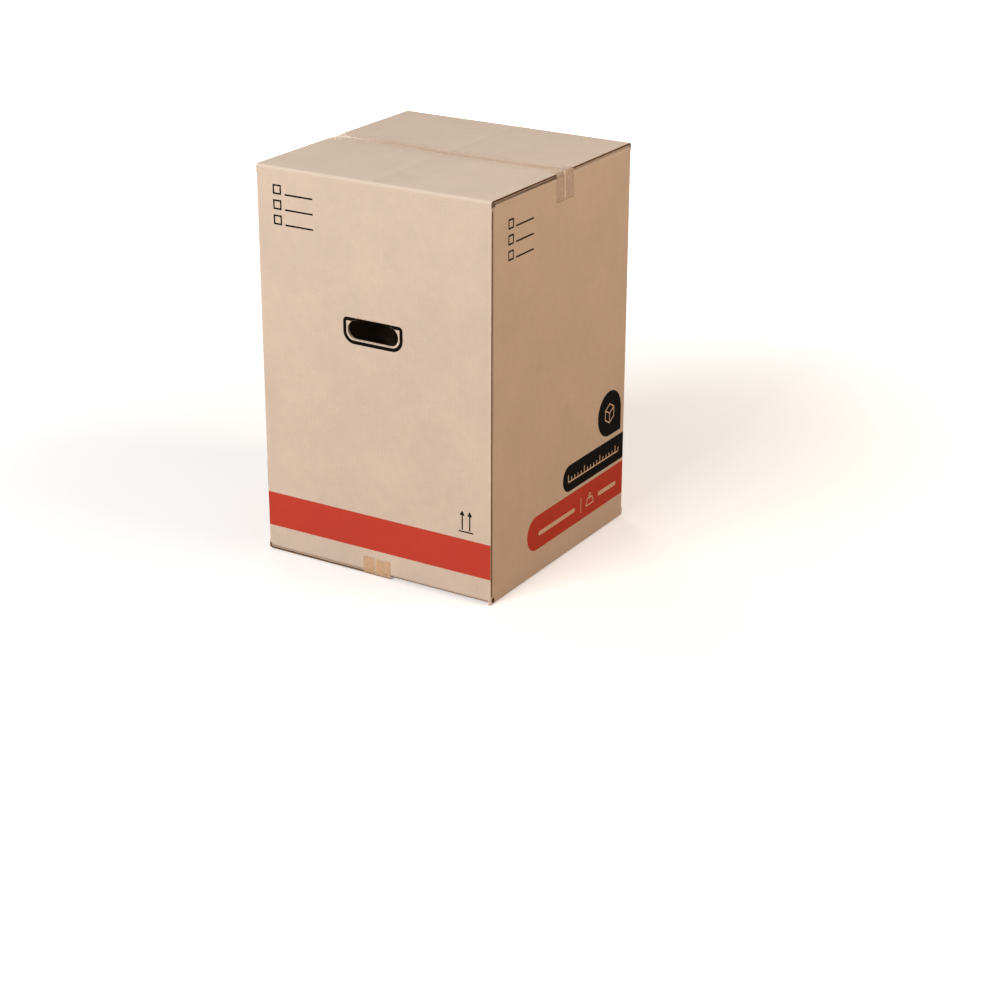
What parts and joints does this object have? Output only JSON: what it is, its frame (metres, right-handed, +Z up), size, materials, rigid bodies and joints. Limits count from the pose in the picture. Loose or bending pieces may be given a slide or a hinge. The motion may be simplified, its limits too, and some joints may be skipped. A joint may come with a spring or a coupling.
{
  "type": "moving box",
  "caption": "Tall square moving carton of single-wall corrugated board, folded from one slotted sheet, with die-cut hand holes and its flaps shut and taped.",
  "frame": {"origin": "on the ground under the middle of the shut carton", "axes": "+Z up; -Y is the outward side of one hand-hole panel, +X the outward side of the plain panel to its right, with the glued joint at the corner between them"},
  "size_m": [0.409, 0.409, 0.6176],
  "materials": {
    "board": "matt uncoated kraft board",
    "tape": "clear film, slightly glossy"
  },
  "bodies": {
    "root": {"carton": "board", "top_tape": "tape", "bottom_tape": "tape"}
  },
  "joints": []
}
